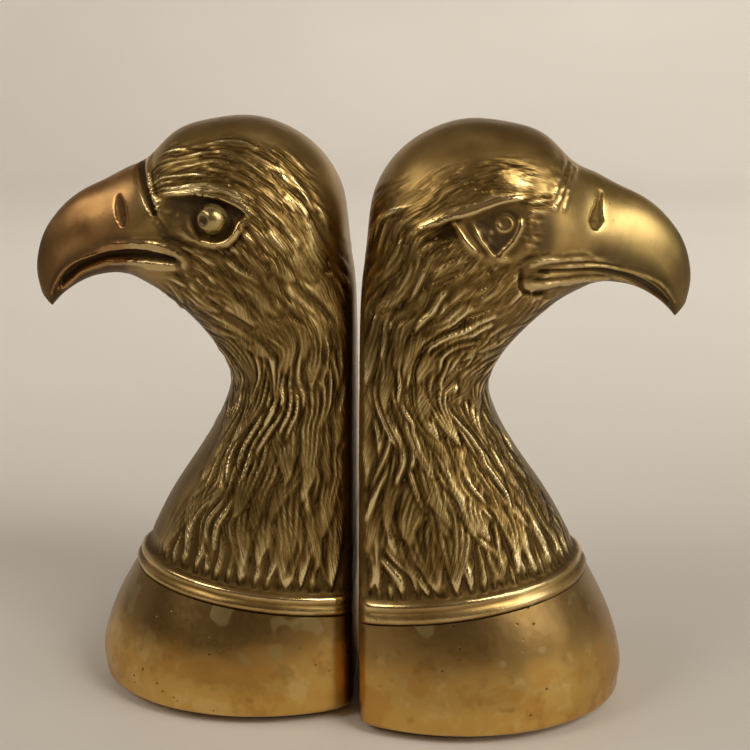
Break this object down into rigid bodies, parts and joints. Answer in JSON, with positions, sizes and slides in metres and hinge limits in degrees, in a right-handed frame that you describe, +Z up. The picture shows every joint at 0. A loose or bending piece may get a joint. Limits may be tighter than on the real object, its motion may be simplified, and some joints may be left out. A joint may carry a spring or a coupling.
{
  "type": "pair of book ends",
  "caption": "Pair of cast brass book ends shaped as eagle heads on flared plinths, standing back to back.",
  "frame": {"origin": "on the shelf, at the bottom centre of the pair's bounding box, midway between the two flat backs", "axes": "+X from the left bookend to the right one, the way the right beak points; +Y across, away from the side that faces the room; +Z up"},
  "size_m": [0.1892, 0.0954, 0.17],
  "materials": {
    "eagle_brass": "antique, dark in the recesses, rubbed bright on the ridges",
    "plinth_brass": "smooth, aged, with pits and tarnish patches",
    "base_board": "plain brown hardboard",
    "felt": "green felt"
  },
  "bodies": {
    "left_bookend": {"left_eagle_casting": "eagle_brass", "left_plinth_casting": "plinth_brass", "left_base_board": "base_board", "left_felt_pad": "felt"},
    "right_bookend": {"right_eagle_casting": "eagle_brass", "right_plinth_casting": "plinth_brass", "right_base_board": "base_board", "right_felt_pad": "felt"}
  },
  "joints": [
    {"name": "right_bookend_slide", "type": "slide", "parent": "left_bookend", "child": "right_bookend", "axis": [1, 0, 0], "range_m": [0, 0.3]}
  ]
}
